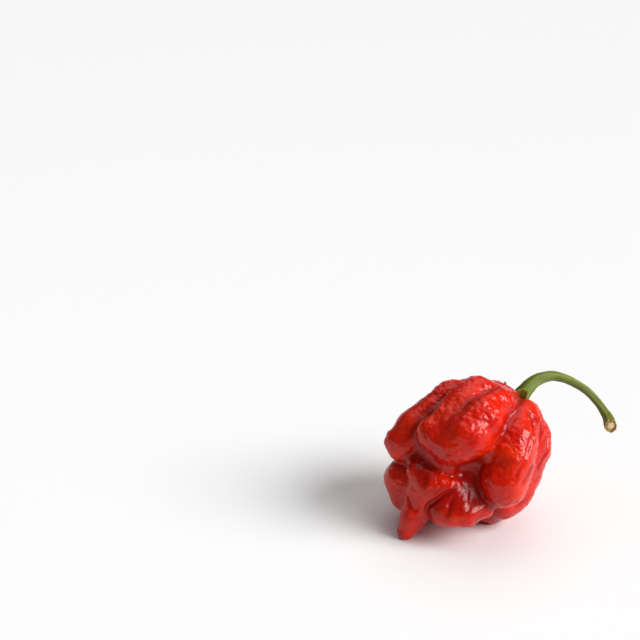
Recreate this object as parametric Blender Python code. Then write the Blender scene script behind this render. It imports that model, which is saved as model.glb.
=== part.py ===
"""A picked Trinidad moruga scorpion pepper, lying on its side.

Three pieces: the pod, one body of swollen lobes and deep creases that ends in
a pointed tail; the small toothed calyx in the hollow of its shoulder; and the
hooked stem on the calyx. The pepper rests on the tip of its tail and on two
of its lower lobes, pressed a little flat where they touch, at z = 0.

Numbers are millimetres. The pod is laid out in its own frame, with z along it
towards the calyx, and is then turned to the way it lies.
"""
import bpy
import numpy as np

MM = 0.001
GAP = 0.35

# The way the pod lies, in degrees: the heading and rise of its axis and its
# roll about it, and the height of its middle over the surface
HEADING, RISE, ROLL = 32.6, 29.1, 45.2
POD_HEIGHT = 17.0

# The pod's core, and the ridges of each lobe, as stations along them:
# degrees round the pod, out from its axis, up along it, radius
CORE = [(0, 0.0, 7.0, 8.5), (0, 0.0, 0.5, 9.6), (0, 0.0, -7.0, 5.6)]
SHOULDER_LOBES = {
    "front": [
        [(-24, 5.1, 12.3, 2.7), (-16, 9.0, 8.3, 3.8), (-12, 11.8, 2.3, 4.6),
         (-9, 11.9, -2.3, 4.8), (-13, 10.7, -5.4, 4.4)],
        [(-57, 5.8, 11.0, 3.1), (-45, 10.1, 6.9, 3.8), (-39, 11.0, 2.7, 4.0),
         (-35, 10.8, -1.6, 4.0), (-39, 10.5, -6.0, 4.4)]],
    "left": [
        [(-95, 4.8, 10.6, 3.2), (-88, 8.2, 7.8, 3.5), (-81, 10.2, 3.3, 4.3),
         (-79, 10.6, -2.5, 4.3), (-81, 10.7, -6.9, 4.3), (-87, 10.2, -10.7, 4.2)]],
    "right": [
        [(27, 5.4, 12.8, 2.9), (28, 7.9, 10.2, 3.9), (31, 10.9, 5.7, 4.4),
         (40, 12.4, 1.8, 4.8), (51, 12.8, -1.5, 4.9), (58, 13.3, -2.9, 4.3)],
        [(55, 5.4, 12.6, 3.1), (67, 7.5, 10.9, 4.2), (74, 9.3, 8.8, 4.3),
         (78, 10.5, 6.2, 3.8)],
        [(102, 5.0, 11.6, 3.3), (97, 9.2, 7.2, 4.2), (95, 11.9, 4.0, 4.5),
         (97, 13.1, 0.3, 4.5), (99, 13.4, -2.1, 4.6)]],
    "under_right": [
        [(122, 5.5, 11.5, 3.4), (120, 9.0, 7.5, 4.6), (117, 11.4, 1.0, 5.5),
         (117, 12.0, -2.8, 6.3)]],
    "under_back": [
        [(160, 5.5, 11.5, 3.4), (160, 9.0, 7.5, 4.6), (159, 11.6, 1.0, 5.6),
         (158, 12.2, -3.8, 6.2)]],
    "back": [
        [(199, 5.5, 11.4, 3.4), (199, 9.0, 7.5, 4.4), (198, 11.2, 1.0, 5.0),
         (196, 10.4, -6.0, 4.8)]],
    "back_left": [
        [(235, 5.3, 10.9, 3.3), (235, 8.8, 6.5, 4.2), (236, 10.6, 0.0, 4.8),
         (238, 10.2, -6.5, 4.7)]],
}
TOE_LOBES = {
    "toe_left": [(-122, 5.7, -10.0, 4.2), (-133, 6.2, -14.7, 4.3), (-162, 5.2, -16.3, 4.2)],
    "toe_right": [(60, 6.0, -8.5, 3.3), (64, 7.0, -11.8, 3.6), (75, 6.4, -14.3, 3.3)],
    "toe_right_low": [(54, 7.3, -11.1, 2.3), (56, 7.0, -14.5, 2.7)],
    "toe_right_middle": [(58, 8.4, -9.7, 2.2), (62, 10.0, -11.7, 2.5)],
    "toe_right_high": [(66, 9.5, -7.6, 2.2), (70, 11.4, -8.3, 2.4)],
    "toe_lip": [(64, 7.2, -16.0, 2.2), (64, 9.5, -14.4, 2.2), (66, 11.4, -12.0, 2.2),
                (70, 12.1, -8.2, 2.3)],
    "toe_right_fold": [(68, 6.3, -6.4, 3.9), (78, 9.0, -8.5, 3.9)],
    "toe_under": [(140, 6.0, -7.0, 5.0), (138, 7.0, -11.5, 4.6)],
    "tail_body": [(-47, 4.1, -12.9, 3.0), (13, 4.5, -12.8, 2.9), (30, 6.4, -10.9, 2.5)],
    "neck": [(22, 7.5, -0.1, 2.2), (36, 6.7, -3.4, 2.2), (51, 6.9, -5.7, 2.2)],
}
TAIL = [(-47, 2.4, -11.6, 3.4), (16, 2.8, -12.8, 4.1), (59, 1.0, -14.9, 3.9),
        (110, 2.1, -17.7, 2.9), (119, 3.4, -19.9, 2.5), (127, 5.2, -22.8, 1.85)]
# How widely these run into each other: the stations along a ridge, neighbouring lobes, the
# lobes of the toe, the core's stations, and the ridges of one lobe
RIDGE_BLEND, CREASE_BLEND, TOE_BLEND, CORE_BLEND = 1.5, 1.0, 1.3, 2.0
FOLD_BLENDS = {"front": 3.4, "right": 4.0}

# The lines that the pod's skin is found along leave a spine down its middle:
# the spine's points, and the share of the rows, height on the spine and
# degrees from the spine's upward direction
SPINE = [(0, 0, 3), (0, 0, -1), (0.2, -1.5, -9), (1.2, -1.2, -14), (2.2, 0, -17.5),
         (3.4, 1.2, -20.5), (4.2, 1.95, -22.4)]
ROW_FAN = [(0, 3, 0), (0.25, 0.5, 55), (0.5, -1, 102), (0.7, -3, 150), (0.9, -18.5, 128),
           (1, -22.4, 180)]
REACH, MARCH_STEPS, SLOPE_STEP = 30.0, 40, 0.05
EVEN_ROUNDS, SOFTEN_ROUNDS = 40, 3
POD_COLUMNS, POD_ROWS = 84, 56

# The hollow of the shoulder is part of a ball, and the calyx is a cap on it
SEAT = (0.0, 0.0, 13.3)
SEAT_LEAN, SEAT_LEAN_TOWARDS = 9.0, -120.0
HOLLOW_RADIUS, HOLLOW_BLEND = 13.0, 0.8
CAP_RADIUS, CAP_EDGE = 4.5, 0.5
BOSS_RADIUS, BOSS_HEIGHT, BOSS_SLOPE = 2.2, 1.5, 1.2
RIB_HEIGHT = 0.16
# Each tooth: degrees round the calyx, half width in degrees, length, lift
TEETH = [(-94, 15, 1.4, 0.7), (-46, 14, 1.0, 0.0), (-4, 17, 0.7, 1.0), (52, 15, 1.5, 0.2),
         (101, 16, 1.2, 0.4), (152, 17, 1.3, 0.5), (208, 16, 1.4, 0.4)]
CALYX_COLUMNS, CALYX_ROWS = 84, 8

# The stem's middle line above the calyx, as it lies, and its radius by share
# of its length
STEM_PATH = [(13.9, 9.6, 27.1), (15.9, 10.8, 28.1), (19.1, 12.1, 28.4), (22.2, 12.7, 27.5),
             (25.0, 12.7, 26.1), (27.5, 12.2, 24.5), (29.7, 11.3, 22.4), (31.3, 10.1, 20.3),
             (32.0, 9.3, 19.3), (32.4, 8.2, 17.9)]
STEM_RADII = [(0, 2.05), (0.08, 1.75), (0.2, 1.42), (0.33, 1.16), (0.46, 1.03), (0.6, 0.95),
              (0.8, 0.88), (0.88, 0.98), (0.95, 1.22), (1, 1.42)]
STEM_RIBS, STEM_RIB_SHARE = 5, 0.045
STEM_COLUMNS, STEM_RINGS = 20, 34


def turn(axis, degrees):
    """The matrix that turns points about one axis of the frame."""
    a = np.radians(degrees)
    i, j = (axis + 1) % 3, (axis + 2) % 3
    matrix = np.eye(3)
    matrix[i, i] = matrix[j, j] = np.cos(a)
    matrix[i, j] = -np.sin(a)
    matrix[j, i] = np.sin(a)
    return matrix


def pod_turn():
    """The pod's own frame as it lies: z first tips over to +X, less its rise."""
    upright_to_lying = turn(1, 90 - RISE) @ turn(2, -90)
    return turn(2, HEADING) @ upright_to_lying @ turn(2, ROLL)


def lie_down(points):
    """Points in the pod's own frame, as they lie on the surface."""
    return points @ pod_turn().T + np.array([0, 0, POD_HEIGHT])


def round_the_pod(degrees, out, up):
    """The point that far round the pod from its front, out from its axis and up it."""
    a = np.radians(degrees)
    return np.array([out * np.sin(a), -out * np.cos(a), up])


def smooth_min(a, b, blend):
    """The lower of two distances, rounded where they differ by less than the blend."""
    h = np.maximum(blend - np.abs(a - b), 0) / blend
    return np.minimum(a, b) - h * h * blend / 4


def ridge_distance(points, ridge, blend):
    """Distance to a ridge: for each pair of stations, distance to the nearest point of the
    line between them less the radius there, and the pairs joined smoothly."""
    result = None
    for start, end in zip(ridge[:-1], ridge[1:]):
        a = round_the_pod(*start[:3])
        line = round_the_pod(*end[:3]) - a
        share = np.clip((points - a) @ line / (line @ line), 0, 1)
        off = np.linalg.norm(points - a - share[..., None] * line, axis=-1)
        distance = off - start[3] - share * (end[3] - start[3])
        result = distance if result is None else smooth_min(result, distance, blend)
    return result


def seat_axis():
    """The direction that the calyx faces, in the pod's own frame."""
    lean = np.radians(SEAT_LEAN)
    side = round_the_pod(SEAT_LEAN_TOWARDS, 1, 0)
    return np.cos(lean) * np.array([0, 0, 1.0]) + np.sin(lean) * side


def pod_distance(points):
    """Distance to the pod's skin: the core, the toe lobes and tail and the shoulder lobes
    joined with creases between them, less the ball of the shoulder's hollow."""
    shoulder = None
    for name, ridges in SHOULDER_LOBES.items():
        lobe = None
        for ridge in ridges:
            fold = ridge_distance(points, ridge, RIDGE_BLEND)
            lobe = fold if lobe is None else smooth_min(lobe, fold, FOLD_BLENDS[name])
        shoulder = lobe if shoulder is None else smooth_min(shoulder, lobe, CREASE_BLEND)
    toe = ridge_distance(points, TAIL, RIDGE_BLEND)
    for ridge in TOE_LOBES.values():
        toe = smooth_min(toe, ridge_distance(points, ridge, RIDGE_BLEND), TOE_BLEND)
    core = ridge_distance(points, CORE, CORE_BLEND)
    body = smooth_min(smooth_min(core, toe, CREASE_BLEND), shoulder, CREASE_BLEND)
    ball = np.array(SEAT) + HOLLOW_RADIUS * seat_axis()
    hollow = np.linalg.norm(points - ball, axis=-1) - HOLLOW_RADIUS
    return -smooth_min(-body, hollow, HOLLOW_BLEND)


def smoothed(values, width):
    """A moving average down the rows, weighted towards its middle, ends kept."""
    half = max(1, width // 2)
    weights = np.hanning(2 * half + 3)[1:-1]
    weights /= weights.sum()
    padded = np.pad(values, [(half, half), (0, 0)], mode="reflect", reflect_type="odd")
    columns = [np.convolve(column, weights, "valid") for column in padded.T]
    return np.stack(columns, axis=1)


def unit(vectors):
    """The vectors, each scaled to a length of one."""
    return vectors / np.linalg.norm(vectors, axis=-1, keepdims=True)


def pod_rays(columns, rows):
    """Where each line that finds the skin starts, and its direction: down the rows the start
    moves along the spine and the direction fans from up to down, and the columns go round."""
    share = np.linspace(0, 1, rows)
    fan = np.array(ROW_FAN, float)
    spine = np.array(SPINE, float)[::-1]
    height = np.interp(share, fan[:, 0], fan[:, 1])
    polar = np.interp(share, fan[:, 0], fan[:, 2])
    height, polar = smoothed(np.stack([height, polar], axis=1), rows // 16).T
    polar[0], polar[-1] = 0, 180
    polar = np.radians(polar)[:, None, None]

    def on_spine(z):
        return np.stack([np.interp(z, spine[:, 2], spine[:, i]) for i in range(3)], axis=1)

    start = smoothed(on_spine(height), rows // 12)
    up = unit(smoothed(unit(on_spine(height + 1) - on_spine(height - 1)), rows // 12))
    front = np.array([0, -1.0, 0])
    front = unit(front - up * (up @ front)[:, None])
    side = np.cross(up, front)
    around = np.linspace(0, 2 * np.pi, columns, endpoint=False)[None, :, None]
    level = np.cos(around) * front[:, None] + np.sin(around) * side[:, None]
    direction = np.cos(polar) * up[:, None] + np.sin(polar) * level
    return np.broadcast_to(start[:, None], direction.shape), direction


def pod_outward(points):
    """The way out of the skin at each point: how the distance changes over a short step
    towards each corner of a tetrahedron."""
    corners = np.array([(1, 1, 1), (1, -1, -1), (-1, 1, -1), (-1, -1, 1)])
    return unit(sum(pod_distance(points + SLOPE_STEP * c)[..., None] * c for c in corners))


def evened(skin):
    """The grid with each point half way to the mean of its four neighbours, and the end rows
    half way to the middle of the rows beside them."""
    beside = np.roll(skin, 1, axis=1) + np.roll(skin, -1, axis=1)
    mean = skin.copy()
    mean[1:-1] = (beside[1:-1] + skin[:-2] + skin[2:]) / 4
    mean[0] = skin[1].mean(axis=0)
    mean[-1] = skin[-2].mean(axis=0)
    return (skin + mean) / 2


def pod_skin(columns, rows):
    """The pod's skin on a grid. Each point moves in along its line, from outside, by 0.9 of
    its distance to the skin until it is there. Then the grid is evened and put back on the
    skin square to it, over and over, which draws it down into the creases, and is evened a
    little more to soften them, all but its ends. What would lie lower than the surface is
    pressed flat on it."""
    start, direction = pod_rays(columns, rows)
    along = np.full(start.shape[:2], REACH)
    for _ in range(MARCH_STEPS):
        along -= 0.9 * pod_distance(start + along[..., None] * direction)
    skin = start + along[..., None] * direction
    for _ in range(EVEN_ROUNDS):
        skin = evened(skin)
        skin -= pod_distance(skin)[..., None] * pod_outward(skin)
    for _ in range(SOFTEN_ROUNDS):
        skin = evened(skin)
    ends = skin[[0, -1]]
    skin[[0, -1]] = ends - pod_distance(ends)[..., None] * pod_outward(ends)
    skin = lie_down(skin)
    skin[..., 2] = np.maximum(skin[..., 2], 0)
    return skin


def closed_grid(grid):
    """Vertices and faces of a closed skin from rows of points: the first and last rows
    shrink to single points, and the columns close round."""
    rows, columns = grid.shape[:2]
    first, last = grid[:1].mean(axis=1), grid[-1:].mean(axis=1)
    vertices = np.concatenate([first, grid[1:-1].reshape(-1, 3), last])
    here = 1 + np.arange((rows - 2) * columns).reshape(rows - 2, columns)
    beside = np.roll(here, -1, axis=1)
    quads = np.stack([here[:-1], here[1:], beside[1:], beside[:-1]], axis=-1).reshape(-1, 4)
    top = np.stack([0 * here[0], here[0], beside[0]], axis=-1)
    bottom = np.stack([0 * here[-1] + len(vertices) - 1, beside[-1], here[-1]], axis=-1)
    return vertices, quads.tolist() + top.tolist() + bottom.tolist()


def make_piece(name, vertices, faces, material):
    """A smooth-shaded object from vertices in millimetres."""
    mesh = bpy.data.meshes.new(name)
    mesh.from_pydata((np.asarray(vertices) * MM).tolist(), [], faces)
    mesh.shade_smooth()
    mesh.materials.append(material)
    piece = bpy.data.objects.new(name, mesh)
    bpy.context.collection.objects.link(piece)
    return piece


def make_material(name, colour, roughness):
    """A plain material of one colour."""
    material = bpy.data.materials.new(name)
    material.use_nodes = True
    shader = material.node_tree.nodes["Principled BSDF"]
    shader.inputs["Base Color"].default_value = (*colour, 1)
    shader.inputs["Roughness"].default_value = roughness
    shader.inputs["Metallic"].default_value = 0
    return material


def calyx_frame():
    """The calyx's place and its three directions, in the pod's own frame."""
    axis = seat_axis()
    front = unit(np.array([0, -1.0, 0]) + axis * axis[1])
    return np.array(SEAT), np.cross(axis, front), -front, axis


def calyx_skin(columns, rows):
    """The calyx on a grid: over its top from the middle out to the rim, and back under it.
    Its underside keeps the gap over the hollow's ball, and its teeth are linear peaks in the
    rim's radius that lift off the shoulder as they reach out."""
    degrees = np.linspace(-180, 180, columns, endpoint=False)
    length = np.zeros(columns)
    lift = np.zeros(columns)
    for middle, half_width, tooth_length, tooth_lift in TEETH:
        away = np.abs((degrees - middle + 180) % 360 - 180)
        peak = np.clip(1 - away / half_width, 0, 1)
        length += tooth_length * peak
        lift += tooth_lift * peak
    share = np.concatenate([np.linspace(0, 1, rows), np.linspace(1, 0, rows)])[:, None]
    over = np.concatenate([np.ones(rows), np.zeros(rows)])[:, None]
    out = share * (CAP_RADIUS + length)
    rise = np.clip((share - 0.55) / 0.45, 0, 1) ** 1.5 * lift
    ball = HOLLOW_RADIUS - np.sqrt(HOLLOW_RADIUS**2 - out**2)
    slope = np.clip((out - BOSS_RADIUS) / BOSS_SLOPE, 0, 1)
    boss = (1 - slope * slope * (3 - 2 * slope)) * (BOSS_HEIGHT - CAP_EDGE)
    rib = RIB_HEIGHT * (lift > 0) * np.sin(np.pi * np.clip(share, 0, 1)) * slope
    height = ball + GAP + rise + over * (CAP_EDGE + boss + rib)
    place, across, away_from_front, axis = calyx_frame()
    a = np.radians(degrees)
    outward = np.sin(a)[:, None] * across - np.cos(a)[:, None] * away_from_front
    return lie_down(place + out[..., None] * outward + height[..., None] * axis)


def smooth_path(points, count):
    """Evenly spaced points on the curve through the given ones, a cubic between each pair
    with the slope at a point set by its neighbours."""
    points = np.array(points, float)
    slopes = np.gradient(points, axis=0)
    fine = np.linspace(0, len(points) - 1, 40 * count)
    i = np.minimum(fine.astype(int), len(points) - 2)
    t = (fine - i)[:, None]
    curve = ((2 * t**3 - 3 * t**2 + 1) * points[i] + (t**3 - 2 * t**2 + t) * slopes[i]
             + (3 * t**2 - 2 * t**3) * points[i + 1] + (t**3 - t**2) * slopes[i + 1])
    run = np.concatenate([[0], np.cumsum(np.linalg.norm(np.diff(curve, axis=0), axis=1))])
    even = np.linspace(0, run[-1], count)
    return np.stack([np.interp(even, run, curve[:, k]) for k in range(3)], axis=1)


def stem_path():
    """The stem's own points: it leaves the calyx square to it, then follows its path."""
    place, _, _, axis = calyx_frame()
    base = GAP + BOSS_HEIGHT + GAP
    start = [lie_down(place + height * axis) for height in (base, base + 1.2)]
    return start + [np.array(point) for point in STEM_PATH]


def stem_skin(columns, rings):
    """The stem on a grid: rings square to its path, of its radius at that share of its
    length, fluted by a few low ribs, closed at both ends by flat caps."""
    line = smooth_path(stem_path(), rings)
    along = unit(np.gradient(line, axis=0))
    along[0] = unit(line[1] - line[0])
    side = np.empty_like(line)
    side[0] = unit(np.cross(along[0], [0, 0, 1.0]))
    for k in range(1, rings):
        side[k] = unit(side[k - 1] - along[k] * (side[k - 1] @ along[k]))
    other = np.cross(along, side)
    share, radius = np.array(STEM_RADII).T
    radius = np.interp(np.linspace(0, 1, rings), share, radius)[:, None]
    around = np.linspace(0, 2 * np.pi, columns, endpoint=False)
    radius = radius * (1 + STEM_RIB_SHARE * np.cos(STEM_RIBS * around))
    ring = np.cos(around)[:, None] * side[:, None] + np.sin(around)[:, None] * other[:, None]
    rows = line[:, None] + radius[..., None] * ring
    ends = [np.broadcast_to(point, rows[:1].shape) for point in (line[0], line[-1])]
    return np.concatenate([ends[0], rows, ends[1]])[::-1]


def build():
    """Make the three pieces with the middle of their box over the origin."""
    for old in list(bpy.data.objects):
        bpy.data.objects.remove(old, do_unlink=True)
    red = make_material("red_skin", (0.55, 0.012, 0.008), 0.28)
    olive = make_material("calyx_olive", (0.16, 0.20, 0.03), 0.6)
    green = make_material("stem_green", (0.14, 0.25, 0.03), 0.5)
    skins = {
        "pod": (pod_skin(POD_COLUMNS, POD_ROWS), red),
        "calyx": (calyx_skin(CALYX_COLUMNS, CALYX_ROWS), olive),
        "stem": (stem_skin(STEM_COLUMNS, STEM_RINGS), green),
    }
    everything = np.concatenate([skin.reshape(-1, 3) for skin, _ in skins.values()])
    middle = (everything.min(axis=0) + everything.max(axis=0)) / 2
    for name, (skin, material) in skins.items():
        piece = make_piece(name, *closed_grid(skin), material)
        piece.location = (-middle[0] * MM, -middle[1] * MM, 0)


build()
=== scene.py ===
"""The looks of a picked Trinidad moruga scorpion pepper, lying on a pale floor.

The pod is worked out again from its lobes on a finer grid than the solid's, and gets the
swells, folds and pebbled skin of the real fruit. The calyx and the stem are worked out
again too, with dry curled teeth and a corky cut end. Shapes are in millimetres, in the
frame that the pod is laid out in; pieces, lights and the camera are in metres.
"""

import bpy
import numpy as np
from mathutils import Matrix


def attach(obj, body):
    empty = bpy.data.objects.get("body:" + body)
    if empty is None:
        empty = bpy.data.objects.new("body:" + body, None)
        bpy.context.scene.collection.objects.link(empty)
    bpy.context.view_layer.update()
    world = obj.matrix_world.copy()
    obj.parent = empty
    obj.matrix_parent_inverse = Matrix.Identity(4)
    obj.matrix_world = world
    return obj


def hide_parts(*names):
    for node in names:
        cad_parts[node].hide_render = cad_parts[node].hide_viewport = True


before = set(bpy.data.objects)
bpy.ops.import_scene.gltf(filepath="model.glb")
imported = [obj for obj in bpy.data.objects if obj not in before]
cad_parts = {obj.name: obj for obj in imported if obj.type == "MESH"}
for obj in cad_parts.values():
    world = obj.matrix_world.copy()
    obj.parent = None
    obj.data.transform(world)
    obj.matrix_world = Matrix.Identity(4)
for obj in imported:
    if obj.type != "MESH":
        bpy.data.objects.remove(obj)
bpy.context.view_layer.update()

MM = 0.001
# The middle of the whole pepper's box as it is laid out, which the frame has at its origin
LAID_OUT_MIDDLE = np.array([7.5541, -0.0159, 0.0])

# The way the pod lies, in degrees: the heading and rise of its axis and its
# roll about it, and the height of its middle over the floor
HEADING, RISE, ROLL = 32.6, 29.1, 45.2
POD_HEIGHT = 17.0

# The pod's core, and the ridges of each lobe, as stations along them:
# degrees round the pod, out from its axis, up along it, radius
CORE = [(0, 0.0, 7.0, 8.5), (0, 0.0, 0.5, 9.6), (0, 0.0, -7.0, 5.6)]
SHOULDER_LOBES = {
    "front": [
        [(-24, 5.1, 12.3, 2.7), (-16, 9.0, 8.3, 3.8), (-12, 11.8, 2.3, 4.6),
         (-9, 11.9, -2.3, 4.8), (-13, 10.7, -5.4, 4.4)],
        [(-57, 5.8, 11.0, 3.1), (-45, 10.1, 6.9, 3.8), (-39, 11.0, 2.7, 4.0),
         (-35, 10.8, -1.6, 4.0), (-39, 10.5, -6.0, 4.4)]],
    "left": [
        [(-95, 4.8, 10.6, 3.2), (-88, 8.2, 7.8, 3.5), (-81, 10.2, 3.3, 4.3),
         (-79, 10.6, -2.5, 4.3), (-81, 10.7, -6.9, 4.3), (-87, 10.2, -10.7, 4.2)]],
    "right": [
        [(27, 5.4, 12.8, 2.9), (28, 7.9, 10.2, 3.9), (31, 10.9, 5.7, 4.4),
         (40, 12.4, 1.8, 4.8), (51, 12.8, -1.5, 4.9), (58, 13.3, -2.9, 4.3)],
        [(55, 5.4, 12.6, 3.1), (67, 7.5, 10.9, 4.2), (74, 9.3, 8.8, 4.3),
         (78, 10.5, 6.2, 3.8)],
        [(102, 5.0, 11.6, 3.3), (97, 9.2, 7.2, 4.2), (95, 11.9, 4.0, 4.5),
         (97, 13.1, 0.3, 4.5), (99, 13.4, -2.1, 4.6)]],
    "under_right": [
        [(122, 5.5, 11.5, 3.4), (120, 9.0, 7.5, 4.6), (117, 11.4, 1.0, 5.5),
         (117, 12.0, -2.8, 6.3)]],
    "under_back": [
        [(160, 5.5, 11.5, 3.4), (160, 9.0, 7.5, 4.6), (159, 11.6, 1.0, 5.6),
         (158, 12.2, -3.8, 6.2)]],
    "back": [
        [(199, 5.5, 11.4, 3.4), (199, 9.0, 7.5, 4.4), (198, 11.2, 1.0, 5.0),
         (196, 10.4, -6.0, 4.8)]],
    "back_left": [
        [(235, 5.3, 10.9, 3.3), (235, 8.8, 6.5, 4.2), (236, 10.6, 0.0, 4.8),
         (238, 10.2, -6.5, 4.7)]],
}
TOE_LOBES = {
    "toe_left": [(-122, 5.7, -10.0, 4.2), (-133, 6.2, -14.7, 4.3), (-162, 5.2, -16.3, 4.2)],
    "toe_right": [(60, 6.0, -8.5, 3.3), (64, 7.0, -11.8, 3.6), (75, 6.4, -14.3, 3.3)],
    "toe_right_low": [(54, 7.3, -11.1, 2.3), (56, 7.0, -14.5, 2.7)],
    "toe_right_middle": [(58, 8.4, -9.7, 2.2), (62, 10.0, -11.7, 2.5)],
    "toe_right_high": [(66, 9.5, -7.6, 2.2), (70, 11.4, -8.3, 2.4)],
    "toe_lip": [(64, 7.2, -16.0, 2.2), (64, 9.5, -14.4, 2.2), (66, 11.4, -12.0, 2.2),
                (70, 12.1, -8.2, 2.3)],
    "toe_right_fold": [(68, 6.3, -6.4, 3.9), (78, 9.0, -8.5, 3.9)],
    "toe_under": [(140, 6.0, -7.0, 5.0), (138, 7.0, -11.5, 4.6)],
    "tail_body": [(-47, 4.1, -12.9, 3.0), (13, 4.5, -12.8, 2.9), (30, 6.4, -10.9, 2.5)],
    "neck": [(22, 7.5, -0.1, 2.2), (36, 6.7, -3.4, 2.2), (51, 6.9, -5.7, 2.2)],
}
TAIL = [(-47, 2.4, -11.6, 3.4), (16, 2.8, -12.8, 4.1), (59, 1.0, -14.9, 3.9),
        (110, 2.1, -17.7, 2.9), (119, 3.4, -19.9, 2.5), (127, 5.2, -22.8, 1.85)]
# How widely these run into each other: the stations along a ridge, neighbouring lobes, the
# lobes of the toe, the core's stations, and the ridges of one lobe. The creases are tighter
# than the solid's.
RIDGE_BLEND, CREASE_BLEND, TOE_BLEND, CORE_BLEND = 1.5, 0.6, 1.3, 2.0
FOLD_BLENDS = {"front": 2.2, "right": 3.0}
# The creases between the lobes and on the toe once they are filled, and how far under that
# skin a crease begins and is at its deepest
FILLED_CREASES, CREASE_DEPTHS = (3.0, 2.2), (0.12, 0.5)

# The lines that the pod's skin is found along leave a spine down its middle:
# the spine's points, and the share of the rows, height on the spine and
# degrees from the spine's upward direction
SPINE = [(0, 0, 3), (0, 0, -1), (0.2, -1.5, -9), (1.2, -1.2, -14), (2.2, 0, -17.5),
         (3.4, 1.2, -20.5), (4.2, 1.95, -22.4)]
ROW_FAN = [(0, 3, 0), (0.25, 0.5, 55), (0.5, -1, 102), (0.7, -3, 150), (0.9, -18.5, 128),
           (1, -22.4, 180)]
# The fan's and the spine's corners are rounded over one part of the rows in this many
FAN_PARTS, SPINE_PARTS = 16, 12
# Where the search for the skin starts, how often it moves in and by what share of the
# distance, and the step that tells which way is out
REACH, MARCH_STEPS, MARCH_SHARE, SLOPE_STEP = 30.0, 24, 0.9, 0.05
# The creases start this wide, and have closed by this share of the coarse rounds
OPEN_CREASE, CLOSING_SHARE = 4.0, 0.75
# The skin is first evened out on a coarse grid, then on a fine one: columns, rows, rounds.
# Last, what is deep in the creases is evened some rounds more.
COARSE, FINE, CREASE_ROUNDS = (96, 64, 50), (380, 258, 2), 8

# The hollow of the shoulder is part of a ball, and the calyx is a cap on it
SEAT = (0.0, 0.0, 13.3)
SEAT_LEAN, SEAT_LEAN_TOWARDS = 9.0, -120.0
HOLLOW_RADIUS, HOLLOW_BLEND = 13.0, 0.8
GAP = 0.35

# The folds of the skin, each by its width and its line over the pod: degrees round, out and
# up as for the lobes, and height, which is below zero for a valley
FOLD_LINES = {
    "front_valley": (0.9, [(-27, 12.5, 10.0, -0.75), (-28, 14.5, 5.5, -0.7), (-28, 15.5, 2.6, -0.5),
                           (-27, 15.5, -0.3, -0.3), (-29, 15.3, -3.1, -0.1)]),
    "left_crest": (0.8, [(-45, 14.2, 7.9, 0.4), (-51, 14.3, 4.5, 0.45), (-48, 14.5, 0.5, 0.4),
                         (-43, 14.8, -3.3, 0.3), (-44, 14.7, -6.3, 0.2)]),
    "main_crest": (1.1, [(-16, 7.9, 13.5, 0.1), (-19, 13.2, 9.0, 0.4), (-19, 16.1, 4.1, 0.35),
                         (-18, 16.4, 0.4, 0.1)]),
    "right_valley_1": (0.4, [(16, 11.3, 11.9, -0.2), (25, 12.8, 10.4, -0.4), (29, 15.3, 7.4, -0.4),
                             (33, 16.9, 3.7, -0.4), (37, 17.4, 0.3, -0.3), (42, 17.5, -2.1, -0.1)]),
    "right_valley_2": (0.45, [(32, 10.5, 13.5, -0.2), (42, 11.7, 11.7, -0.5), (51, 12.9, 8.6, -0.5),
                              (44, 17.4, 3.2, -0.4), (46, 17.7, 0.5, -0.3), (48, 18.0, -1.1, -0.1)]),
    "right_valley_3": (0.4, [(52, 10.0, 14.2, -0.3), (59, 12.0, 12.0, -0.5), (66, 13.7, 8.7, -0.5),
                             (71, 14.3, 6.5, -0.3)]),
    "tail_fold": (0.4, [(31, 8.8, -10.1, -0.3), (30, 8.8, -11.9, -0.8), (30, 7.8, -13.8, -0.8),
                        (33, 6.3, -16.0, -0.8), (42, 4.7, -17.1, -0.6), (66, 4.7, -18.0, -0.3)]),
    "tail_neck": (0.4, [(-28, 2.3, -18.3, -0.3), (23, 2.2, -19.4, -0.5), (47, 3.2, -19.3, -0.4),
                        (40, 3.8, -18.2, -0.2)]),
    "toe_valley_1": (0.5, [(36, 9.0, -11.9, -0.2), (40, 9.1, -13.6, -0.4), (46, 9.6, -15.2, -0.3),
                           (53, 9.8, -16.4, -0.1)]),
    "toe_valley_2": (0.5, [(48, 10.2, -9.2, -0.3), (52, 11.3, -10.3, -0.4), (52, 12.1, -11.6, -0.3),
                           (53, 12.2, -12.9, -0.1)]),
}

# The calyx: its cap and boss as in the solid, and how thin its rim gets
CAP_RADIUS, CAP_EDGE, RIM_EDGE = 4.5, 0.5, 0.22
BOSS_RADIUS, BOSS_HEIGHT, BOSS_SLOPE = 2.2, 1.5, 1.2
# The teeth start to curl at this share of the way out, and rise by this power of the rest
CURL_FROM, CURL_POWER = 0.55, 1.5
KEEL_HEIGHT, KEEL_WIDTH = 0.14, 0.16
# The height and size of the waves that tear its rim and crumple its teeth
RIM_TEARS, CRUMPLES = [(0.45, 0.5), (0.2, 0.17)], [(0.128, 1.1), (0.064, 0.45)]
# Each tooth: degrees round the calyx, half width in degrees, length, lift, and how square
TEETH = [(-104, 13, 1.65, 1.6, 1.8), (-59, 11, 1.15, 0.6, 1.6), (-4, 17, 0.5, 1.7, 3.0),
         (70, 13, 1.25, 1.0, 1.7), (108, 16, 1.2, 0.4, 1.0), (152, 17, 1.3, 0.5, 1.3),
         (208, 16, 1.4, 0.4, 1.1)]
CALYX_COLUMNS, CALYX_ROWS = 560, 44

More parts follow.
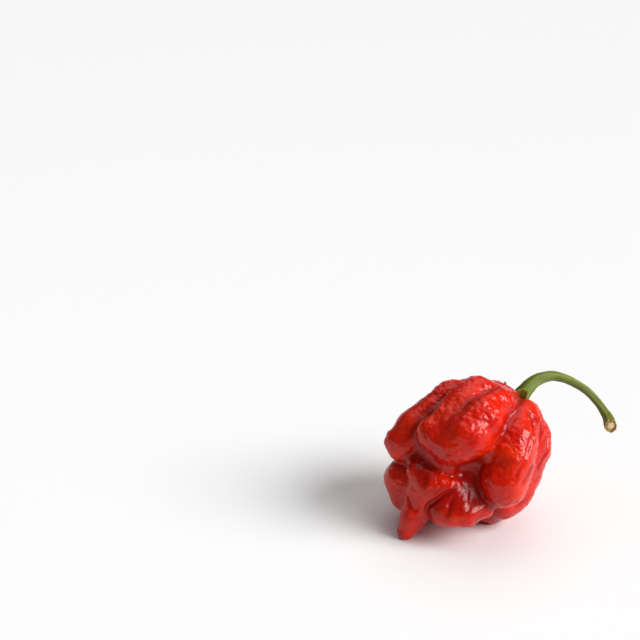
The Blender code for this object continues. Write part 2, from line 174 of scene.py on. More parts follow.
# The stem's middle line above the calyx, as it lies, and its radius by share of its length
STEM_PATH = [(13.9, 9.6, 27.1), (15.9, 10.8, 28.1), (19.1, 12.1, 28.4), (22.2, 12.7, 27.5),
             (25.0, 12.7, 26.1), (27.5, 12.2, 24.5), (29.7, 11.3, 22.4), (31.3, 10.1, 20.3),
             (32.0, 9.3, 19.3), (32.4, 8.2, 17.9)]
STEM_RADII = [(0, 2.05), (0.08, 1.75), (0.2, 1.42), (0.33, 1.16), (0.46, 1.03), (0.6, 0.95),
              (0.8, 0.88), (0.88, 0.98), (0.95, 1.22), (1, 1.42)]
STEM_COLUMNS, STEM_RINGS, CUT_RINGS = 144, 300, 26
# Its radius is averaged over this many rings
RADIUS_AVERAGE = 18
# Its gap over the calyx, and how far it goes straight on from there
STEM_GAP, STEM_STRAIGHT = 0.04, 1.5
# Its ribs, streaks and lumps, by share of its radius: height, wave size, stretch
STEM_RIBS, STEM_RIB_HEIGHT = 5, 0.05
STREAKS, STREAK_STRETCH = [(0.07, 0.9), (0.04, 0.4)], (2.2, 2.2, 0.09)
LUMP_HEIGHT, LUMP_SIZE, LUMP_STRETCH = 0.06, 1.3, (1.5, 1.5, 0.7)
# The rings lean until the cut faces this way, between these shares of the stem's length,
# and the cut's rim runs out to a ragged corner on this side
CUT_LEAN, LEAN_STRETCH = (0.1, -0.97, -0.15), (0.90, 1.02)
CORNER_TOWARDS, CORNER_LENGTH, CORNER_SHARPNESS = (0.0, 0.0, -1.0), 0.6, 14
# The cut's rim and groove: height, and place and width by share of the way out. Its pith:
# height, and how far out it goes. Then the waves of its rim and of its crumbs.
CUT_RIM, CUT_GROOVE, CUT_PITH = (0.30, 0.93, 0.10), (-0.12, 0.70, 0.09), (0.25, 0.62)
RIM_ROUGHNESS, ROUGH_SIZE, ROUGH_STRETCH = 0.5, 0.5, 1.4
CRUMBS = [(0.16, 0.5), (0.08, 0.22)]

# The relief of the skin: the height of each kind and the size of its waves
SWELL_HEIGHT, SWELL_SIZE = 0.55, 4.5
FOLD_HEIGHT, FOLD_SIZE, FOLD_STRETCH = 0.35, 2.0, 5.0
PEBBLE_HEIGHT, PEBBLE_SIZE = 0.62, 2.1
PIMPLE_HEIGHT, PIMPLE_SIZE = 0.42, 1.15
GRAIN_HEIGHT, GRAIN_SIZE = 0.05, 0.6
MEAN_RELIEF = 0.19
# How far the pebbles wander and over what size, and the share of it that pimples and the
# folds' lines do
DRIFT, DRIFT_SIZE, WOBBLE = 0.5, 2.4, 0.6
# The pebbles' patches: their size, the heights of their waves from which they begin and are
# full, and the share of the pebbles that is left between them
PATCH_SIZE, PATCH_EDGES, BETWEEN_PATCHES = 5.5, (-0.25, 0.3), 0.45
# The right side, in degrees round the pod, from where it starts to where it has ended; the
# share of the folds that is left off it, and the share of the pebbles that is lost on it
RIGHT_START, RIGHT_END, FOLDS_OFF_IT, PEBBLES_LOST = (22, 50), (120, 150), 0.25, 0.35
# Down the tail, and in the creases, this share of the relief is lost; under the calyx all
# of it is, this far from the middle of the shoulder's hollow
TAIL_FADE, TAIL_LOSS, CREASE_LOSS, SEAT_FADE = (14, 19), 0.75, 0.9, (4, 8)

# The floor's side in metres
FLOOR_SIDE = 8
# The camera, in metres and degrees, and its focal length as pixels of the picture's width
CAMERA_PLACE, CAMERA_DOWN = (-0.040459, -0.258507, 0.151263), 22
FOCAL_PIXELS, PICTURE_PIXELS, SENSOR_WIDTH = 1322, 640, 36
# Each light: degrees round from the camera's side by the right, degrees up, degrees across,
# and strength
LIGHTS = {"key": (72, 36, 34, 3.35), "front": (44, 37, 17, 0.5), "top": (170, 70, 60, 1.0)}
ROOM_LIGHT = 0.1


def turn(axis, degrees):
    """The matrix that turns points about one axis of the frame."""
    a = np.radians(degrees)
    i, j = (axis + 1) % 3, (axis + 2) % 3
    matrix = np.eye(3)
    matrix[i, i] = matrix[j, j] = np.cos(a)
    matrix[i, j] = -np.sin(a)
    matrix[j, i] = np.sin(a)
    return matrix


def pod_turn():
    """The pod's own frame as it lies: z first tips over to +X, less its rise."""
    upright_to_lying = turn(1, 90 - RISE) @ turn(2, -90)
    return turn(2, HEADING) @ upright_to_lying @ turn(2, ROLL)


def lie_down(points):
    """Points in the pod's own frame, as they lie on the floor."""
    return points @ pod_turn().T + np.array([0, 0, POD_HEIGHT])


def round_the_pod(degrees, out, up):
    """The point that far round the pod from its front, out from its axis and up it."""
    a = np.radians(degrees)
    return np.array([out * np.sin(a), -out * np.cos(a), up])


def unit(vectors):
    """The vectors, each scaled to a length of one."""
    return vectors / np.linalg.norm(vectors, axis=-1, keepdims=True)


def smooth_min(a, b, blend):
    """The lower of two distances, rounded where they differ by less than the blend."""
    h = np.maximum(blend - np.abs(a - b), 0) / blend
    return np.minimum(a, b) - h * h * blend / 4


def ridge_distance(points, ridge, blend):
    """Distance to a ridge: for each pair of stations, distance to the nearest point of the
    line between them less the radius there, and the pairs joined smoothly."""
    result = None
    for start, end in zip(ridge[:-1], ridge[1:]):
        a = round_the_pod(*start[:3])
        line = round_the_pod(*end[:3]) - a
        share = np.clip((points - a) @ line / (line @ line), 0, 1)
        off = np.linalg.norm(points - a - share[..., None] * line, axis=-1)
        distance = off - start[3] - share * (end[3] - start[3])
        result = distance if result is None else smooth_min(result, distance, blend)
    return result


def seat_axis():
    """The direction that the calyx faces, in the pod's own frame."""
    lean = np.radians(SEAT_LEAN)
    side = round_the_pod(SEAT_LEAN_TOWARDS, 1, 0)
    return np.cos(lean) * np.array([0, 0, 1.0]) + np.sin(lean) * side


def pod_distance(points, crease=CREASE_BLEND, toe_crease=TOE_BLEND):
    """Distance to the smooth pod: the core, the toe lobes and tail and the shoulder lobes
    joined with creases between them, less the ball of the shoulder's hollow."""
    shoulder = None
    for name, ridges in SHOULDER_LOBES.items():
        lobe = None
        for ridge in ridges:
            fold = ridge_distance(points, ridge, RIDGE_BLEND)
            lobe = fold if lobe is None else smooth_min(lobe, fold, FOLD_BLENDS[name])
        shoulder = lobe if shoulder is None else smooth_min(shoulder, lobe, crease)
    toe = ridge_distance(points, TAIL, RIDGE_BLEND)
    for ridge in TOE_LOBES.values():
        toe = smooth_min(toe, ridge_distance(points, ridge, RIDGE_BLEND), toe_crease)
    core = ridge_distance(points, CORE, CORE_BLEND)
    body = smooth_min(smooth_min(core, toe, crease), shoulder, crease)
    ball = np.array(SEAT) + HOLLOW_RADIUS * seat_axis()
    hollow = np.linalg.norm(points - ball, axis=-1) - HOLLOW_RADIUS
    return -smooth_min(-body, hollow, HOLLOW_BLEND)


def crease_depth(points):
    """From 0 out on the lobes to 1 deep in the creases: how far the skin lies under that of
    a pod whose creases are filled."""
    return eased(-pod_distance(points, *FILLED_CREASES), *CREASE_DEPTHS)


def waves(points, size, seed):
    """Smooth random waves, from about -0.7 to 0.7: each corner of a grid of that size has a
    random direction, and the value is how far the point lies along the directions of the
    eight corners round it, blended with an ease curve."""
    count = 32
    leans = unit(np.random.default_rng(seed).normal(size=(count, count, count, 3)))
    where = points / size + count / 2
    corner = np.floor(where).astype(int)
    part = where - corner
    ease = part**3 * (part * (part * 6 - 15) + 10)
    total = np.zeros(points.shape[:-1])
    for step in np.ndindex(2, 2, 2):
        at = (corner + step) % count
        share = np.where(step, ease, 1 - ease).prod(axis=-1)
        lean = leans[at[..., 0], at[..., 1], at[..., 2]]
        total += share * ((part - step) * lean).sum(axis=-1)
    return total


def layered_waves(points, layers, first_seed):
    """The sum of waves of several heights and sizes, with one seed after the other."""
    return sum(height * waves(points, size, first_seed + k)
               for k, (height, size) in enumerate(layers))


def eased(value, low, high):
    """0 below low and 1 above high, with a smooth step between."""
    t = np.clip((value - low) / (high - low), 0, 1)
    return t * t * (3 - 2 * t)


def bell(value, middle, width):
    """A bell curve: 1 at the middle, and falling off on both sides over about the width."""
    return np.exp(-((value - middle) / width) ** 2)


def fold_height(points, width, line):
    """The height of a fold at the nearest point of its line, fading away from it as a bell
    curve of that width; where its stretches overlap, the greatest counts."""
    result = np.zeros(points.shape[:-1])
    for start, end in zip(line[:-1], line[1:]):
        a = round_the_pod(*start[:3])
        stretch = round_the_pod(*end[:3]) - a
        share = np.clip((points - a) @ stretch / (stretch @ stretch), 0, 1)
        off = np.linalg.norm(points - a - share[..., None] * stretch, axis=-1)
        height = (start[3] + share * (end[3] - start[3])) * bell(off, 0, width)
        result = np.where(np.abs(height) > np.abs(result), height, result)
    return result


def relief(points):
    """How far the skin stands out from the smooth pod. Swells are broad waves. Folds and
    pebbles are waves without their sign, which leaves grooves between round heights: the
    folds are drawn out along the pod and belong to its right side, and the pebbles come in
    patches, with pimples among them. With a fine grain they are less on the tail and in the
    creases. Then come the folds that have a line of their own. All fade under the calyx."""
    degrees = np.degrees(np.arctan2(points[..., 0], -points[..., 1]))
    right = eased(degrees, *RIGHT_START) * (1 - eased(degrees, *RIGHT_END))
    swell = SWELL_HEIGHT * waves(points, SWELL_SIZE, 11)
    wander = [waves(points, DRIFT_SIZE, seed) for seed in (21, 22, 23)]
    drift = DRIFT * np.stack(wander, axis=-1)
    wobble = points + WOBBLE * drift
    drawn_out = (points + drift) / np.array([1, 1, FOLD_STRETCH])
    fold = FOLD_HEIGHT * np.abs(waves(drawn_out, FOLD_SIZE, 31))
    fold *= FOLDS_OFF_IT + (1 - FOLDS_OFF_IT) * right
    patches = eased(waves(points, PATCH_SIZE, 41), *PATCH_EDGES)
    pebble = PEBBLE_HEIGHT * np.abs(waves(points + drift, PEBBLE_SIZE, 51))
    pebble += PIMPLE_HEIGHT * np.abs(waves(wobble, PIMPLE_SIZE, 52))
    pebble *= BETWEEN_PATCHES + (1 - BETWEEN_PATCHES) * patches
    pebble *= 1 - PEBBLES_LOST * right
    grain = GRAIN_HEIGHT * waves(points, GRAIN_SIZE, 61)
    height = swell + fold + pebble + grain - MEAN_RELIEF
    height *= 1 - TAIL_LOSS * eased(-points[..., 2], *TAIL_FADE)
    height *= 1 - CREASE_LOSS * crease_depth(points)
    height += sum(fold_height(wobble, width, line) for width, line in FOLD_LINES.values())
    return height * eased(np.linalg.norm(points - np.array(SEAT), axis=-1), *SEAT_FADE)


def smoothed(values, width):
    """A moving average down the rows, weighted towards its middle, ends kept."""
    half = max(1, width // 2)
    weights = np.hanning(2 * half + 3)[1:-1]
    weights /= weights.sum()
    padded = np.pad(values, [(half, half), (0, 0)], mode="reflect", reflect_type="odd")
    columns = [np.convolve(column, weights, "valid") for column in padded.T]
    return np.stack(columns, axis=1)


def pod_rays(columns, rows):
    """Where each line that finds the skin starts, and its direction: down the rows the start
    moves along the spine and the direction fans from up to down, and the columns go round."""
    share = np.linspace(0, 1, rows)
    fan = np.array(ROW_FAN, float)
    spine = np.array(SPINE, float)[::-1]
    height = np.interp(share, fan[:, 0], fan[:, 1])
    polar = np.interp(share, fan[:, 0], fan[:, 2])
    height, polar = smoothed(np.stack([height, polar], axis=1), rows // FAN_PARTS).T
    polar[0], polar[-1] = 0, 180
    polar = np.radians(polar)[:, None, None]

    def on_spine(z):
        return np.stack([np.interp(z, spine[:, 2], spine[:, i]) for i in range(3)], axis=1)

    start = smoothed(on_spine(height), rows // SPINE_PARTS)
    up = unit(smoothed(unit(on_spine(height + 1) - on_spine(height - 1)), rows // SPINE_PARTS))
    front = np.array([0, -1.0, 0])
    front = unit(front - up * (up @ front)[:, None])
    side = np.cross(up, front)
    around = np.linspace(0, 2 * np.pi, columns, endpoint=False)[None, :, None]
    level = np.cos(around) * front[:, None] + np.sin(around) * side[:, None]
    direction = np.cos(polar) * up[:, None] + np.sin(polar) * level
    return np.broadcast_to(start[:, None], direction.shape), direction


def pod_outward(points, *creases):
    """The way out of the smooth pod at each point: how the distance changes over a short
    step towards each corner of a tetrahedron."""
    corners = np.array([(1, 1, 1), (1, -1, -1), (-1, 1, -1), (-1, -1, 1)])
    steps = [pod_distance(points + SLOPE_STEP * c, *creases)[..., None] * c for c in corners]
    return unit(sum(steps))


def evened(skin):
    """The grid with each point half way to the mean of its four neighbours, and the end rows
    half way to the middle of the rows beside them."""
    beside = np.roll(skin, 1, axis=1) + np.roll(skin, -1, axis=1)
    mean = skin.copy()
    mean[1:-1] = (beside[1:-1] + skin[:-2] + skin[2:]) / 4
    mean[0] = skin[1].mean(axis=0)
    mean[-1] = skin[-2].mean(axis=0)
    return (skin + mean) / 2


def finer(grid, columns, rows):
    """The grid with more columns and rows, on straight lines between its points."""
    grid = np.concatenate([grid, grid[:, :1]], axis=1)
    for axis, where in enumerate([np.linspace(0, len(grid) - 1, rows),
                                  np.linspace(0, grid.shape[1] - 1, columns, endpoint=False)]):
        first = np.minimum(where.astype(int), grid.shape[axis] - 2)
        part = (where - first).reshape((-1, 1, 1) if axis == 0 else (1, -1, 1))
        grid = (1 - part) * grid.take(first, axis) + part * grid.take(first + 1, axis)
    return grid


def pod_skin():
    """The pod's skin on a grid, and how deep in a crease each point is. Each point moves in
    along its line, from outside, by most of its distance to the skin until it is there. A
    coarse grid is evened and put back on the skin square to it, over and over, while the
    creases close from wide to narrow, which draws it down into them. A finer grid through
    it is treated so a few times, and then gets the skin's relief. The depths of the creases
    are evened some more. What would lie lower than the floor is pressed flat on it."""
    columns, rows, rounds = COARSE
    start, direction = pod_rays(columns, rows)
    along = np.full(start.shape[:2], REACH)
    for _ in range(MARCH_STEPS):
        point = start + along[..., None] * direction
        along -= MARCH_SHARE * pod_distance(point, OPEN_CREASE, OPEN_CREASE)
    skin = start + along[..., None] * direction
    for k in range(rounds):
        still_open = max(0, 1 - (k + 1) / (CLOSING_SHARE * rounds))
        creases = [narrow + (OPEN_CREASE - narrow) * still_open
                   for narrow in (CREASE_BLEND, TOE_BLEND)]
        skin = evened(skin)
        skin -= pod_distance(skin, *creases)[..., None] * pod_outward(skin, *creases)
    columns, rows, rounds = FINE
    skin = finer(skin, columns, rows)
    for _ in range(rounds):
        skin = evened(skin)
        outward = pod_outward(skin)
        skin -= pod_distance(skin)[..., None] * outward
    skin += relief(skin)[..., None] * outward
    deep = crease_depth(skin)
    for _ in range(CREASE_ROUNDS):
        skin += deep[..., None] * (evened(skin) - skin)
    skin = lie_down(skin)
    skin[..., 2] = np.maximum(skin[..., 2], 0)
    return skin, deep


def in_vertex_order(grid):
    """What a grid holds for each vertex of its closed skin: the first and last rows shrink to
    their means."""
    inner = grid[1:-1].reshape(-1, *grid.shape[2:])
    return np.concatenate([grid[:1].mean(axis=1), inner, grid[-1:].mean(axis=1)])


def closed_grid(grid):
    """Vertices and faces of a closed skin from rows of points: the first and last rows
    shrink to single points, and the columns close round."""
    rows, columns = grid.shape[:2]
    vertices = in_vertex_order(grid)
    here = 1 + np.arange((rows - 2) * columns).reshape(rows - 2, columns)
    beside = np.roll(here, -1, axis=1)
    quads = np.stack([here[:-1], here[1:], beside[1:], beside[:-1]], axis=-1).reshape(-1, 4)
    top = np.stack([0 * here[0], here[0], beside[0]], axis=-1)
    bottom = np.stack([0 * here[-1] + len(vertices) - 1, beside[-1], here[-1]], axis=-1)
    return vertices, quads.tolist() + top.tolist() + bottom.tolist()


def calyx_frame():
    """The calyx's place and its three directions, in the pod's own frame."""
    axis = seat_axis()
    front = unit(np.array([0, -1.0, 0]) + axis * axis[1])
    return np.array(SEAT), np.cross(axis, front), -front, axis


def calyx_skin():
    """The calyx on a grid, and how far out each point is: over its top from the middle out to
    the rim, and back under it. Both sides follow the hollow's ball. Teeth are peaks of the
    rim's radius that curl up as they reach out, with a keel down each and crumpled between.
    A boss rises in the middle of the top, and the rim is thin and torn."""
    degrees = np.linspace(-180, 180, CALYX_COLUMNS, endpoint=False)
    a = np.radians(degrees)
    length = np.zeros(CALYX_COLUMNS)
    lift = np.zeros(CALYX_COLUMNS)
    keel = np.zeros(CALYX_COLUMNS)
    for middle, half_width, tooth_length, tooth_lift, square in TEETH:
        away = np.abs((degrees - middle + 180) % 360 - 180) / half_width
        peak = np.clip(1 - away**square, 0, 1)
        length += tooth_length * peak
        lift += tooth_lift * peak
        keel += bell(away, 0, KEEL_WIDTH)
    circle = np.stack([np.cos(a), np.sin(a), 0 * a], axis=-1)
    length += layered_waves(circle * CAP_RADIUS, RIM_TEARS, 71)
    share = np.linspace(0, 1, CALYX_ROWS)
    share = np.concatenate([share, share[::-1]])[:, None]
    on_top = np.concatenate([np.ones(CALYX_ROWS), np.zeros(CALYX_ROWS)])[:, None]
    out = share * (CAP_RADIUS + length)
    ball = HOLLOW_RADIUS - np.sqrt(HOLLOW_RADIUS**2 - out**2)
    rise = np.clip((share - CURL_FROM) / (1 - CURL_FROM), 0, 1)**CURL_POWER * lift
    slope = np.clip((out - BOSS_RADIUS) / BOSS_SLOPE, 0, 1)
    boss = (1 - slope * slope * (3 - 2 * slope)) * (BOSS_HEIGHT - CAP_EDGE)
    edge = CAP_EDGE + (RIM_EDGE - CAP_EDGE) * share**3
    spot = np.stack([out * np.cos(a), out * np.sin(a), 0 * out], axis=-1)
    crumple = layered_waves(spot, CRUMPLES, 73) * np.sqrt(share) * slope
    ridge = KEEL_HEIGHT * keel * np.sin(np.pi * share) * slope
    height = GAP + ball + rise + crumple + on_top * (edge + boss + ridge)
    place, across, away_from_front, axis = calyx_frame()
    outward = np.sin(a)[:, None] * across - np.cos(a)[:, None] * away_from_front
    grid = lie_down(place + out[..., None] * outward + height[..., None] * axis)
    return grid, np.broadcast_to(share, out.shape)


def smooth_path(points, count):
    """Evenly spaced points on the curve through the given ones, a cubic between each pair
    with the slope at a point set by its neighbours."""
    points = np.array(points, float)
    slopes = np.gradient(points, axis=0)
    fine = np.linspace(0, len(points) - 1, 40 * count)
    i = np.minimum(fine.astype(int), len(points) - 2)
    t = (fine - i)[:, None]
    curve = ((2 * t**3 - 3 * t**2 + 1) * points[i] + (t**3 - 2 * t**2 + t) * slopes[i]
             + (3 * t**2 - 2 * t**3) * points[i + 1] + (t**3 - t**2) * slopes[i + 1])
    run = np.concatenate([[0], np.cumsum(np.linalg.norm(np.diff(curve, axis=0), axis=1))])
    even = np.linspace(0, run[-1], count)
    return np.stack([np.interp(even, run, curve[:, k]) for k in range(3)], axis=1)


def stem_path():
    """The stem's own points: it leaves the calyx square to it, then follows its path."""
    place, _, _, axis = calyx_frame()
    base = GAP + BOSS_HEIGHT + STEM_GAP
    start = [lie_down(place + height * axis) for height in (base, base + STEM_STRAIGHT)]
    return start + [np.array(point) for point in STEM_PATH]


def stem_rings():
    """Each ring's place on the stem's middle line, the direction there and two square to it
    that turn as little as they can along the way, its radius and its share of the length."""
    line = smooth_path(stem_path(), STEM_RINGS)
    along = unit(np.gradient(line, axis=0))
    along[0] = unit(line[1] - line[0])
    side = np.empty_like(line)
    side[0] = unit(np.cross(along[0], [0, 0, 1.0]))
    for k in range(1, STEM_RINGS):
        side[k] = unit(side[k - 1] - along[k] * (side[k - 1] @ along[k]))
    share, radius = np.array(STEM_RADII).T
    run = np.linspace(0, 1, STEM_RINGS)
    radius = smoothed(np.interp(run, share, radius)[:, None], RADIUS_AVERAGE)
    return line, along, side, np.cross(along, side), radius, run


def cut_height(inward, ring, spot, flat):
    """How far the cut stands out, from its edge in: a raised rim with a ragged corner, a
    groove inside it and a domed pith, all crumbly."""
    rim_height, rim_place, rim_width = CUT_RIM
    corner = np.clip(ring @ np.array(CORNER_TOWARDS), 0, 1)**CORNER_SHARPNESS
    rough = RIM_ROUGHNESS * waves(spot * ROUGH_STRETCH, ROUGH_SIZE, 84)
    rim = (rim_height + rough + CORNER_LENGTH * corner) * bell(inward, rim_place, rim_width)
    groove_height, groove_place, groove_width = CUT_GROOVE
    groove = groove_height * bell(inward, groove_place, groove_width)
    pith_height, pith_reach = CUT_PITH
    pith = pith_height * np.sqrt(np.clip(1 - (inward / pith_reach)**2, 0, 1))
    return rim + groove + pith + layered_waves(flat, CRUMBS, 85)


def stem_skin():
    """The stem on a grid, with where each point is along and round it, how corky it is and
    how far out on the cut. Rings square to the path have its radius there, fluted by low
    ribs and fine lengthwise streaks. Near the end they lean until the cut faces CUT_LEAN,
    and the cut's own rings shrink to its middle."""
    line, along, side, other, radius, run = stem_rings()
    a = np.linspace(0, 2 * np.pi, STEM_COLUMNS, endpoint=False)
    length = np.linalg.norm(np.diff(line, axis=0), axis=1).sum()
    spot = np.stack(np.broadcast_arrays(np.cos(a), np.sin(a), run[:, None] * length), axis=-1)
    ribs = STEM_RIB_HEIGHT * np.cos(STEM_RIBS * a)
    ribs = ribs + layered_waves(spot * np.array(STREAK_STRETCH), STREAKS, 81)
    lumps = LUMP_HEIGHT * waves(spot * np.array(LUMP_STRETCH), LUMP_SIZE, 83)
    ring = np.cos(a)[:, None] * side[:, None] + np.sin(a)[:, None] * other[:, None]
    reach = (radius * (1 + ribs + lumps))[..., None] * ring
    lean = np.array(CUT_LEAN) / (np.array(CUT_LEAN) @ along[-1])
    ramp = eased(run, *LEAN_STRETCH)[:, None, None]
    reach = reach - along[:, None] * (reach @ lean)[..., None] * ramp
    rows = line[:, None] + reach
    inward = np.linspace(1, 0, CUT_RINGS + 1)[1:, None]
    flat = reach[-1] * inward[..., None]
    height = cut_height(inward, ring[-1], spot[-1], flat)
    cut = line[-1] + flat + height[..., None] * unit(np.array(CUT_LEAN))
    first = np.broadcast_to(line[0], rows[:1].shape)
    grid = np.concatenate([first, rows, cut])[::-1]
    round_it = np.concatenate([spot[:1], spot, np.broadcast_to(spot[-1], cut.shape)])[::-1]
    bark = np.ones((STEM_RINGS + 1, STEM_COLUMNS))
    cork = np.concatenate([0 * bark, np.ones(cut.shape[:2])])[::-1]
    middle = np.concatenate([bark, np.broadcast_to(inward, cut.shape[:2])])[::-1]
    return grid, round_it, cork, middle


def make_piece(name, grid, material):
    """A smooth-shaded piece from a closed grid of laid-out points in millimetres."""
    vertices, faces = closed_grid(grid)
    mesh = bpy.data.meshes.new(name)
    mesh.from_pydata(((vertices - LAID_OUT_MIDDLE) * MM).tolist(), [], faces)
    mesh.shade_smooth()
    mesh.materials.append(material)
    piece = bpy.data.objects.new(name, mesh)
    bpy.context.scene.collection.objects.link(piece)
    return piece


def carry(mesh, name, grid):
    """Puts a grid's numbers or vectors on the mesh's vertices, for its material to read."""
    values = in_vertex_order(grid)
    kind, key = ("FLOAT", "value") if values.ndim == 1 else ("FLOAT_VECTOR", "vector")
    attribute = mesh.attributes.new(name, kind, "POINT")
    attribute.data.foreach_set(key, values.astype(np.float32).ravel())


class Value:
    """A socket of a material's nodes; sums, differences and products of it add Math nodes."""

    def __init__(self, paint, socket):
        self.paint = paint
        self.socket = socket

    def math(self, operation, *numbers):
        return self.paint.add("ShaderNodeMath", {"operation": operation}, dict(enumerate(numbers)))

    def __add__(self, other):
        return self.math("ADD", self, other)

    def __radd__(self, other):
        return self.math("ADD", other, self)

    def __sub__(self, other):
        return self.math("SUBTRACT", self, other)

    def __rsub__(self, other):
        return self.math("SUBTRACT", other, self)

    def __mul__(self, other):
        return self.math("MULTIPLY", self, other)

    def __rmul__(self, other):
        return self.math("MULTIPLY", other, self)

    def step(self, low, high):
        """0 where this is below low, 1 where it is above high, smooth between."""
        return self.paint.add("ShaderNodeMapRange", {"interpolation_type": "SMOOTHSTEP"},
                              {0: self, 1: low, 2: high})


class Paint:
    """A material: one Principled shader, with nodes added in front of it."""

    def __init__(self, name, **same_all_over):
        self.material = bpy.data.materials.new(name)
        self.material.use_nodes = True
        self.tree = self.material.node_tree
        self.shader = self.tree.nodes["Principled BSDF"]
        for socket, value in same_all_over.items():
            self.shader.inputs[socket.replace("_", " ")].default_value = value

    def put(self, socket, value):
        """Links a value to a socket, or sets a plain number or colour on it."""
        if isinstance(value, Value):
            self.tree.links.new(value.socket, socket)
        else:
            socket.default_value = value

    def add(self, kind, settings, inputs, output=0):
        """A node of that kind: its settings, then its sockets; gives one of its outputs."""
        node = self.tree.nodes.new(kind)
        for key, value in settings.items():
            setattr(node, key, value)
        for key, value in inputs.items():
            self.put(node.inputs[key], value)
        return Value(self, node.outputs[output])

    def place(self):
        """The point of the piece in its own frame, in metres."""
        return self.add("ShaderNodeTexCoord", {}, {}, "Object")

    def noise(self, where, size, detail=2.0, roughness=0.5):
        """Noise from 0 to 1 with features of about that size, in metres."""
        return self.add("ShaderNodeTexNoise", {}, {
            "Vector": where, "Scale": 1 / size, "Detail": detail, "Roughness": roughness})

    def cells(self, where, size):
        """Distance to the nearest of scattered spots about that far apart, from 0 at a spot."""
        return self.add("ShaderNodeTexVoronoi", {}, {"Vector": where, "Scale": 1 / size}, "Distance")

    def blend(self, amount, first, second):
        """From the first colour to the second as the amount goes from 0 to 1."""
        colours = [c if isinstance(c, Value) else (*c, 1) for c in (first, second)]
        return self.add("ShaderNodeMix", {"data_type": "RGBA"},
                        {0: amount, 6: colours[0], 7: colours[1]}, 2)

    def carried(self, name, output="Fac"):
        """What the mesh carries under that name."""
        return self.add("ShaderNodeAttribute", {"attribute_name": name}, {}, output)

    def feed(self, **values):
        """Puts what varies over the surface into the shader."""
        for socket, value in values.items():
            self.put(self.shader.inputs[socket.replace("_", " ")], value)

    def bump(self, height, depth):
        """Raises the surface by that share of a depth in metres, in its shading alone."""
        normal = self.add("ShaderNodeBump", {}, {"Height": height, "Distance": depth})
        self.feed(Normal=normal)


def skin_paint():
    """Ripe red skin under a thin wax: mottled, with painted shade that deepens the red in the
    creases, and a few pale flecks that are painted glints."""
    deep_red, ripe_red, blush_red = (0.54, 0.005, 0.001), (0.69, 0.015, 0.001), (0.77, 0.036, 0.002)
    crease_shade_red, painted_glint = (0.26, 0.001, 0.001), (0.85, 0.30, 0.12)
    paint = Paint("ripe_skin", Coat_Roughness=0.1, Coat_IOR=1.45, Subsurface_Weight=0.05,
                  Subsurface_Scale=0.002, Subsurface_Radius=(1.0, 0.1, 0.05), IOR=1.36)
    here = paint.place()
    mottle = paint.noise(here, 0.005, 4).step(0.32, 0.7)
    red = paint.blend(mottle, deep_red, ripe_red)
    blush = paint.noise(here, 0.011, 2).step(0.5, 0.75)
    red = paint.blend(0.5 * blush, red, blush_red)
    # Painted shade: the deeper a point lies in a crease, the darker its red
    red = paint.blend(0.7 * paint.carried("crease"), red, crease_shade_red)
    # Painted highlights: tiny pale pink glints scattered over the skin
    glint_fleck = (1 - paint.cells(here, 0.0016)).step(0.86, 0.93) * paint.noise(here, 0.004).step(0.5, 0.6)
    red = paint.blend(0.55 * glint_fleck, red, painted_glint)
    wax = paint.noise(here, 0.0013, 3)
    paint.feed(Base_Color=red, Roughness=0.14 + 0.14 * wax, Coat_Weight=0.1 * wax)
    paint.bump(paint.noise(here, 0.0007, 3, 0.5), 0.00013)
    return paint.material


def calyx_paint():
    """Dry olive-green calyx: yellower towards its rim, and browner at the very edge."""
    dark_green, olive = (0.09, 0.12, 0.003), (0.17, 0.18, 0.008)
    dry_green, dry_edge = (0.21, 0.19, 0.010), (0.42, 0.31, 0.06)
    paint = Paint("dry_calyx", IOR=1.4)
    here = paint.place()
    patch = paint.noise(here, 0.0012, 3)
    colour = paint.blend(patch.step(0.35, 0.65), dark_green, olive)
    out = paint.carried("out") + 0.3 * (patch - 0.5)
    colour = paint.blend(out.step(0.80, 1.04), colour, dry_green)
    colour = paint.blend(out.step(0.95, 1.06), colour, dry_edge)
    paint.feed(Base_Color=colour, Roughness=0.5 + 0.2 * patch)
    paint.bump(paint.noise(here, 0.0005, 4), 0.00012)
    return paint.material


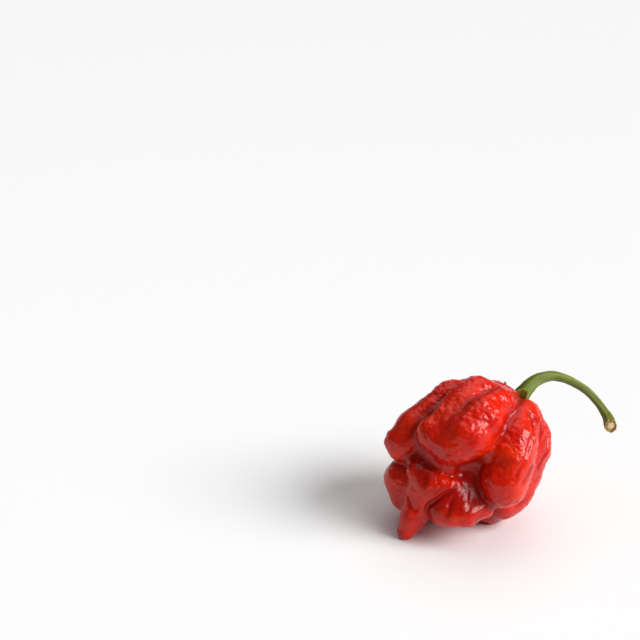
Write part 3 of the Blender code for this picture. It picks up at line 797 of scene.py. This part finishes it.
def stem_paint():
    """Green stem with lengthwise streaks, darkened to olive underneath as painted shade, and
    pale along its ridges; a corky tan cut with a cream pith."""
    deep_green, fresh_green = (0.085, 0.115, 0.002), (0.16, 0.20, 0.012)
    pale_green, yellow_green = (0.26, 0.30, 0.06), (0.165, 0.18, 0.002)
    olive = (0.085, 0.058, 0.004)
    tan, golden = (0.66, 0.52, 0.29), (0.48, 0.29, 0.08)
    brown, cream = (0.30, 0.16, 0.045), (0.74, 0.62, 0.38)
    paint = Paint("green_stem", IOR=1.36)
    here = paint.place()
    strand = paint.carried("strand", "Vector")
    long_way = paint.add("ShaderNodeVectorMath", {"operation": "MULTIPLY"},
                         {0: strand, 1: (1.0, 1.0, 0.05)}, 0)
    streak = paint.noise(long_way, 0.42, 4, 0.6)
    fine = paint.noise(long_way, 0.14, 3, 0.7)
    patch = paint.noise(here, 0.0035, 3)
    green = paint.blend(streak.step(0.36, 0.64), deep_green, fresh_green)
    green = paint.blend(0.75 * fine.step(0.52, 0.78), green, pale_green)
    green = paint.blend(0.6 * patch.step(0.52, 0.72), green, yellow_green)
    # Painted shade: the underside, broken up by the streaks, is darkened towards olive
    under = paint.add("ShaderNodeSeparateXYZ", {}, {0: strand}, 1)
    shade = (0.55 * under + 0.6 * (streak - 0.5)).step(0.15, 0.6)
    green = paint.blend(0.8 * shade, green, olive)
    crumb = paint.noise(here, 0.0004, 4, 0.6)
    edge = paint.carried("inward") + 0.35 * (crumb - 0.5)
    cork = paint.blend(edge.step(0.45, 0.75), tan, golden)
    cork = paint.blend(crumb.step(0.56, 0.70), cork, brown)
    cork = paint.blend((1 - edge).step(0.45, 0.8) * crumb.step(0.35, 0.5), cork, cream)
    is_cork = (paint.carried("cork") + 0.6 * (crumb - 0.5)).step(0.35, 0.65)
    paint.feed(Base_Color=paint.blend(is_cork, green, cork),
               Roughness=0.36 + 0.12 * streak + 0.3 * is_cork)
    paint.bump(0.7 * streak + 0.3 * fine + crumb * is_cork, 0.00012)
    return paint.material


def floor_paint():
    """Matt white."""
    return Paint("pale_floor", Base_Color=(0.9, 0.9, 0.9, 1), Roughness=0.6).material


def settle(piece, node):
    """Lets a piece stand for a solid node, on the one body."""
    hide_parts(node)
    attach(piece, "root")


def make_pod():
    """The pod, which carries how deep in a crease each point is, for the painted shade there."""
    skin, deep = pod_skin()
    piece = make_piece("pod_skin", skin, skin_paint())
    carry(piece.data, "crease", deep)
    settle(piece, "pod")


def make_calyx():
    """The calyx, which carries how far out each point is."""
    skin, out = calyx_skin()
    piece = make_piece("calyx_leaf", skin, calyx_paint())
    carry(piece.data, "out", out)
    settle(piece, "calyx")


def make_stem():
    """The stem with its cut end, which carries its strands, where it is cork and how far out
    on the cut each point is."""
    skin, strand, cork, inward = stem_skin()
    piece = make_piece("stem_and_cut", skin, stem_paint())
    carry(piece.data, "strand", strand)
    carry(piece.data, "cork", cork)
    carry(piece.data, "inward", inward)
    settle(piece, "stem")


def make_floor():
    """A wide pale floor."""
    bpy.ops.mesh.primitive_plane_add(size=FLOOR_SIDE)
    floor = bpy.context.object
    floor.name = "floor"
    floor.data.materials.append(floor_paint())


def make_light(name, azimuth, elevation, width, strength):
    """A soft light far off, which fills a round patch of the sky."""
    light = bpy.data.lights.new(name, "SUN")
    light.angle = np.radians(width)
    light.energy = strength
    lamp = bpy.data.objects.new(name, light)
    lamp.rotation_euler = (np.radians(90 - elevation), 0, np.radians(azimuth))
    bpy.context.scene.collection.objects.link(lamp)


def make_camera():
    """The camera, which looks along +Y and down."""
    view = bpy.data.cameras.new("camera")
    view.sensor_width = SENSOR_WIDTH
    view.lens = SENSOR_WIDTH * FOCAL_PIXELS / PICTURE_PIXELS
    view.clip_start = 0.01
    view.clip_end = 50
    camera = bpy.data.objects.new("camera", view)
    camera.location = CAMERA_PLACE
    camera.rotation_euler = (np.radians(90 - CAMERA_DOWN), 0, 0)
    bpy.context.scene.collection.objects.link(camera)
    bpy.context.scene.camera = camera


def make_world():
    """White all round, but dim, with the colours shown as they are."""
    world = bpy.data.worlds.new("white_room")
    world.use_nodes = True
    background = world.node_tree.nodes["Background"]
    background.inputs["Color"].default_value = (1, 1, 1, 1)
    background.inputs["Strength"].default_value = ROOM_LIGHT
    bpy.context.scene.world = world
    bpy.context.scene.view_settings.view_transform = "Standard"


make_pod()
make_calyx()
make_stem()
make_floor()
for name, settings in LIGHTS.items():
    make_light(name, *settings)
make_camera()
make_world()
